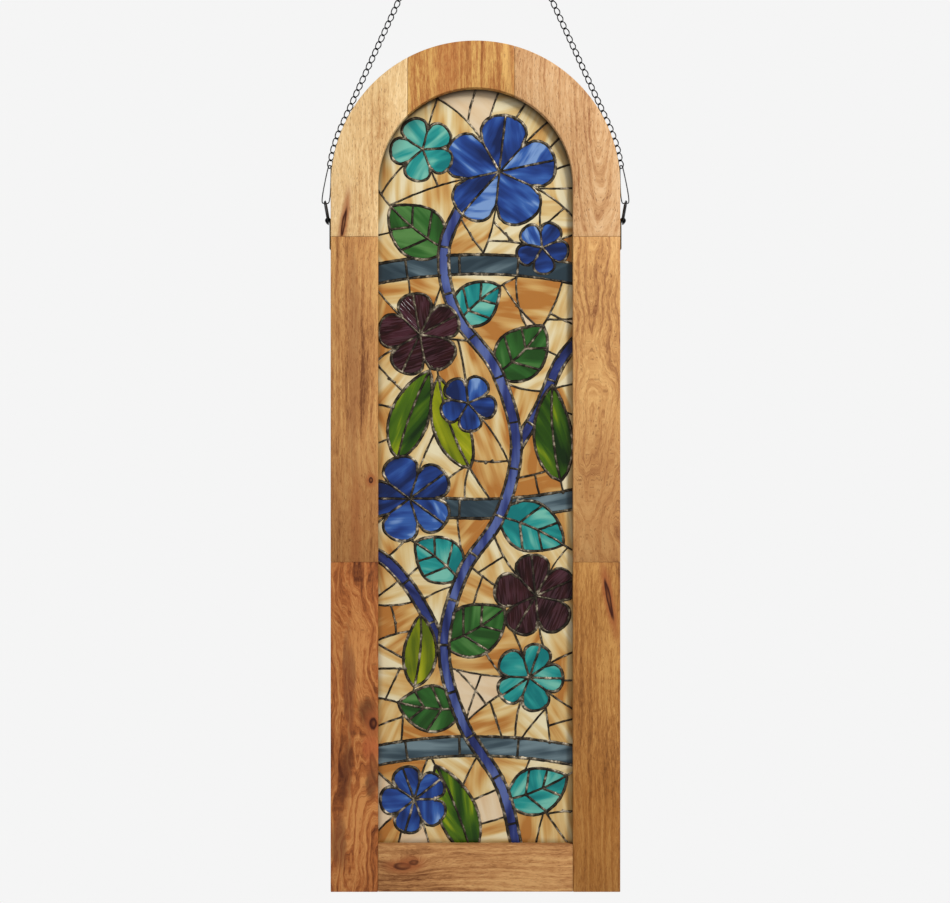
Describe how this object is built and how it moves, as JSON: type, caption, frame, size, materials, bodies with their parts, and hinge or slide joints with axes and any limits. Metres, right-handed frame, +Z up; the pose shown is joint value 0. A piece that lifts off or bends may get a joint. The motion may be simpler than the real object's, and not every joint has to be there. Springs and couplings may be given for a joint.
{
  "type": "stained glass window",
  "caption": "Tall arched stained glass panel with flowers, leaves and a winding stem, in a wooden frame that hangs from a chain on rings at its sides.",
  "frame": {"origin": "the point where the hook bears, under the middle link of the chain; the window hangs below it", "axes": "+Z up, front faces -Y, +X to the right as seen from the front"},
  "size_m": [0.3336, 0.022, 1.1353],
  "materials": {
    "arch_left": "light tan, straight upright grain, lightly oiled",
    "arch_middle": "orange brown with streaks, lightly oiled",
    "arch_right": "pinkish tan with arched grain, lightly oiled",
    "stile_left_upper": "mid brown with a wavy dark band",
    "stile_left_lower": "reddish brown with knots",
    "stile_right_upper": "golden brown with wavy bands",
    "stile_right_lower": "tan brown with a slit knot",
    "bottom_rail": "tan, level grain with one long knot",
    "solder": "lumpy dark bronze patina on solder",
    "chain_metal": "black satin",
    "clip_steel": "dulled steel wire",
    "ring_metal": "black, worn grey in places",
    "strap_metal": "dark bronze black",
    "screw_steel": "dark steel",
    "glass_amber": "streaky opalescent amber and cream, nearly opaque",
    "glass_violet": "streaky violet blue",
    "glass_slate": "slate blue grey, wispy",
    "glass_lime": "yellow green, streaky",
    "glass_olive": "dark olive with lime streaks",
    "glass_teal": "pale teal opalescent",
    "glass_green": "leaf green, streaky",
    "glass_plum": "dark plum with a rippled face",
    "glass_cobalt": "cobalt with light streaks"
  },
  "bodies": {
    "root": {"arch_left": "arch_left", "arch_middle": "arch_middle", "arch_right": "arch_right", "stile_left_upper": "stile_left_upper", "stile_left_lower": "stile_left_lower", "stile_right_upper": "stile_right_upper", "stile_right_lower": "stile_right_lower", "bottom_rail": "bottom_rail", "solder_lines": "solder", "band_lower_1": "glass_slate", "band_lower_2": "glass_slate", "band_middle_1": "glass_slate", "band_middle_2": "glass_slate", "band_upper_1": "glass_slate", "band_upper_2": "glass_slate", "stem_left_low": "glass_violet", "stem_right_high": "glass_violet", "blade_low": "glass_olive", "blade_lime_low": "glass_lime", "blade_left_mid": "glass_olive", "blade_lime_mid": "glass_lime", "blade_right_mid": "glass_olive", "leaf_top_left": "glass_green", "leaf_high_right": "glass_green", "leaf_teal_high": "glass_teal", "leaf_teal_mid": "glass_teal", "leaf_mid_right": "glass_green", "leaf_teal_left": "glass_teal", "leaf_teal_low": "glass_teal", "leaf_low_left": "glass_green", "stem_main": "glass_violet", "flower_top": "glass_cobalt", "flower_plum_left": "glass_plum", "flower_right_high": "glass_cobalt", "flower_teal_top": "glass_teal", "flower_plum_right": "glass_plum", "flower_left_mid": "glass_cobalt", "flower_small_mid": "glass_cobalt", "flower_teal_right": "glass_teal", "flower_low_left": "glass_cobalt", "ground_1": "glass_amber", "ground_2": "glass_amber", "ground_3": "glass_amber", "ground_4": "glass_amber", "ground_5": "glass_amber", "ground_6": "glass_amber", "ground_7": "glass_amber", "ground_8": "glass_amber", "ground_9": "glass_amber", "chain_left": "chain_metal", "chain_right": "chain_metal", "middle_link": "chain_metal", "d_ring_left": "ring_metal", "clip_left": "clip_steel", "hanger_left": "strap_metal", "hanger_screw_left": "screw_steel", "d_ring_right": "ring_metal", "clip_right": "clip_steel", "hanger_right": "strap_metal", "hanger_screw_right": "screw_steel"}
  },
  "joints": []
}
